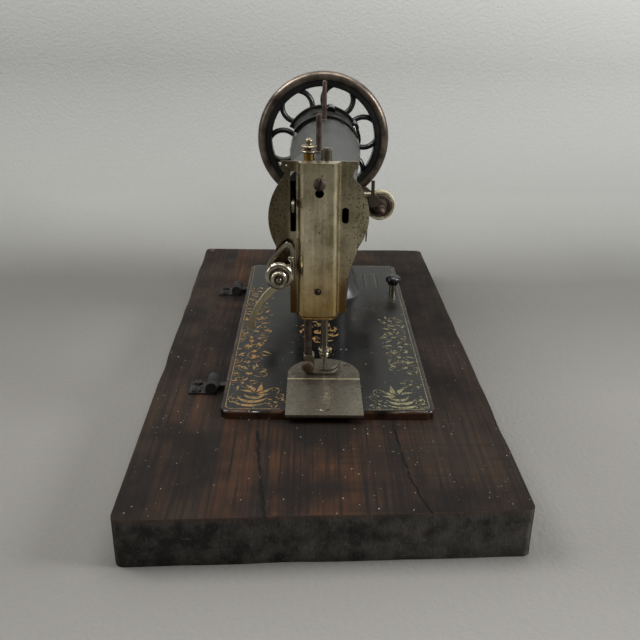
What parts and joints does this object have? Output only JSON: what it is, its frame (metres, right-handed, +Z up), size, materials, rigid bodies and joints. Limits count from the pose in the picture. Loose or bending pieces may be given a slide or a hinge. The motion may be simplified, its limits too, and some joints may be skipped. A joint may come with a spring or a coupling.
{
  "type": "lock-stitch sewing machine head on a hinged base board",
  "caption": "Antique lock-stitch sewing machine head, hinged at its back edge on a thick plank base, with working needle, foot, hook, feed and winder.",
  "frame": {"origin": "centre of the board's underside, at the middle of the whole object's box", "axes": "+X from the needle end to the handwheel, +Y from the sewer's side to the hinged back edge, +Z up"},
  "size_m": [0.5914, 0.2976, 0.2789],
  "materials": {
    "board_wood": "worn dark varnish over long grain, dusty",
    "black_japan": "aged black japan with faded gold lines, dusty",
    "nickel": "worn nickel plate, warm grey, rust at the edges",
    "bright_steel": "ground steel, oiled, dull",
    "rusty_steel": "steel with brown rust",
    "worn_brass": "dull brass",
    "old_rubber": "cracked cream rubber",
    "black_knob": "worn black moulded cap",
    "wheel_paint": "black paint with a bare brown steel rim"
  },
  "bodies": {
    "base": {"base_board": "board_wood", "hinge_plates": "rusty_steel", "hinge_pins": "rusty_steel", "hinge_screws": "rusty_steel", "corner_screw": "rusty_steel"},
    "head": {"bed": "black_japan", "hinge_lugs": "rusty_steel", "arm": "black_japan", "arm_bolts": "bright_steel", "needle_plate": "nickel", "plate_screws": "nickel", "bed_cover_plate": "black_japan", "face_plate": "nickel", "face_plate_screws": "nickel", "needle_bar_bushings": "bright_steel", "pivot_screws": "bright_steel", "tension_stud": "nickel", "tension_discs": "nickel", "tension_spring": "bright_steel", "thread_bracket": "nickel", "shaft_bushings": "worn_brass", "belt_guard": "black_japan", "guard_screws": "rusty_steel", "rear_spool_pin": "rusty_steel", "front_spool_pin": "rusty_steel", "winder_bracket": "nickel", "winder_wire": "rusty_steel", "shuttle_race": "bright_steel", "shaft_brackets": "black_japan", "bobbin_case": "nickel"},
    "drive": {"main_shaft": "bright_steel", "needle_crank": "bright_steel", "handwheel": "wheel_paint"},
    "stop_motion": {"stop_motion_screw": "nickel"},
    "needle_drive": {"needle_bar": "bright_steel", "needle_link": "bright_steel", "needle_clamp": "worn_brass", "clamp_screw": "rusty_steel", "needle": "bright_steel"},
    "take_up": {"take_up_lever": "nickel"},
    "hook_shaft": {"hook": "bright_steel"},
    "pitman_rod": {"pitman": "black_japan"},
    "feed": {"feed_dog": "bright_steel"},
    "feed_rocker": {"feed_shaft": "bright_steel"},
    "lifter": {"presser_lifter": "nickel"},
    "presser": {"presser_bar": "bright_steel", "presser_bracket": "bright_steel", "presser_foot": "nickel", "foot_screw": "rusty_steel", "presser_spring": "bright_steel"},
    "pressure": {"pressure_screw": "worn_brass"},
    "slide": {"slide_plate": "nickel"},
    "tension": {"tension_nut": "nickel"},
    "check": {"check_spring": "bright_steel"},
    "winder": {"winder_arm": "rusty_steel"},
    "winder_wheel": {"winder_spindle": "rusty_steel", "winder_tyre": "old_rubber"},
    "knob": {"bed_knob": "black_knob", "knob_stem": "nickel"},
    "bobbin_core": {"bobbin": "bright_steel"}
  },
  "joints": [
    {"name": "head_tilt", "type": "hinge", "parent": "base", "child": "head", "pos_m": [0.0105, 0.0926, 0.0449], "axis": [-1, 0, 0], "range_deg": [0, 90]},
    {"name": "handwheel_spin", "type": "hinge", "parent": "head", "child": "drive", "pos_m": [0.0785, -0.0063, 0.1997], "axis": [1, 0, 0], "continuous": true},
    {"name": "stop_motion_turn", "type": "hinge", "parent": "drive", "child": "stop_motion", "pos_m": [0.2385, -0.0063, 0.1997], "axis": [1, 0, 0], "range_deg": [-180, 180]},
    {"name": "needle_bar_slide", "type": "slide", "parent": "head", "child": "needle_drive", "axis": [0, 0, 1], "range_m": [0, 0.03]},
    {"name": "take_up_swing", "type": "hinge", "parent": "head", "child": "take_up", "pos_m": [-0.0715, 0.0212, 0.2077], "axis": [0, 1, 0], "range_deg": [0, 20]},
    {"name": "hook_rock", "type": "hinge", "parent": "head", "child": "hook_shaft", "pos_m": [0.0285, -0.0054, 0.0223], "axis": [1, 0, 0], "range_deg": [0, 180]},
    {"name": "pitman_slide", "type": "slide", "parent": "head", "child": "pitman_rod", "axis": [0, 0, 1], "range_m": [0, 0.016]},
    {"name": "feed_slide", "type": "slide", "parent": "head", "child": "feed", "axis": [0, 1, 0], "range_m": [0, 0.004]},
    {"name": "feed_rock", "type": "hinge", "parent": "head", "child": "feed_rocker", "pos_m": [0.0085, -0.0274, 0.0123], "axis": [-1, 0, 0], "range_deg": [0, 10.7]},
    {"name": "lifter_swing", "type": "hinge", "parent": "head", "child": "lifter", "pos_m": [-0.104, 0.0176, 0.1378], "axis": [1, 0, 0], "range_deg": [0, 70]},
    {"name": "presser_slide", "type": "slide", "parent": "head", "child": "presser", "axis": [0, 0, 1], "range_m": [0, 0.006], "deforming": ["presser_spring"]},
    {"name": "pressure_turn", "type": "hinge", "parent": "head", "child": "pressure", "pos_m": [-0.0895, 0.0091, 0.2463], "axis": [0, 0, 1], "range_deg": [-180, 180]},
    {"name": "slide_plate_slide", "type": "slide", "parent": "head", "child": "slide", "axis": [-1, 0, 0], "range_m": [0, 0.045]},
    {"name": "tension_turn", "type": "hinge", "parent": "head", "child": "tension", "pos_m": [-0.1375, 0.0322, 0.1523], "axis": [1, 0, 0], "range_deg": [-180, 180]},
    {"name": "check_swing", "type": "hinge", "parent": "head", "child": "check", "pos_m": [-0.1245, 0.0322, 0.1523], "axis": [1, 0, 0], "range_deg": [-30, 0], "stiffness_Nm_per_rad": 0.002},
    {"name": "winder_swing", "type": "hinge", "parent": "head", "child": "winder", "pos_m": [0.2105, -0.0564, 0.1382], "axis": [1, 0, 0], "range_deg": [-52, 0]},
    {"name": "winder_spin", "type": "hinge", "parent": "winder", "child": "winder_wheel", "pos_m": [0.2105, -0.0772, 0.1196], "axis": [1, 0, 0], "continuous": true},
    {"name": "knob_turn", "type": "hinge", "parent": "head", "child": "knob", "pos_m": [0.1107, -0.0854, 0.0513], "axis": [0, 0, 1], "range_deg": [-150, 150]},
    {"name": "bobbin_spin", "type": "hinge", "parent": "head", "child": "bobbin_core", "pos_m": [-0.0995, -0.0054, 0.0223], "axis": [1, 0, 0], "continuous": true}
  ],
  "couplings": [
    {"joint": "take_up_swing", "follows": "needle_bar_slide", "rad_per_m": 11.636},
    {"joint": "hook_rock", "follows": "needle_bar_slide", "rad_per_m": 104.72},
    {"joint": "pitman_slide", "follows": "needle_bar_slide", "ratio": 0.5333},
    {"joint": "feed_slide", "follows": "needle_bar_slide", "ratio": 0.1333},
    {"joint": "feed_rock", "follows": "needle_bar_slide", "rad_per_m": 6.225},
    {"joint": "lifter_swing", "follows": "presser_slide", "rad_per_m": 203.62}
  ]
}
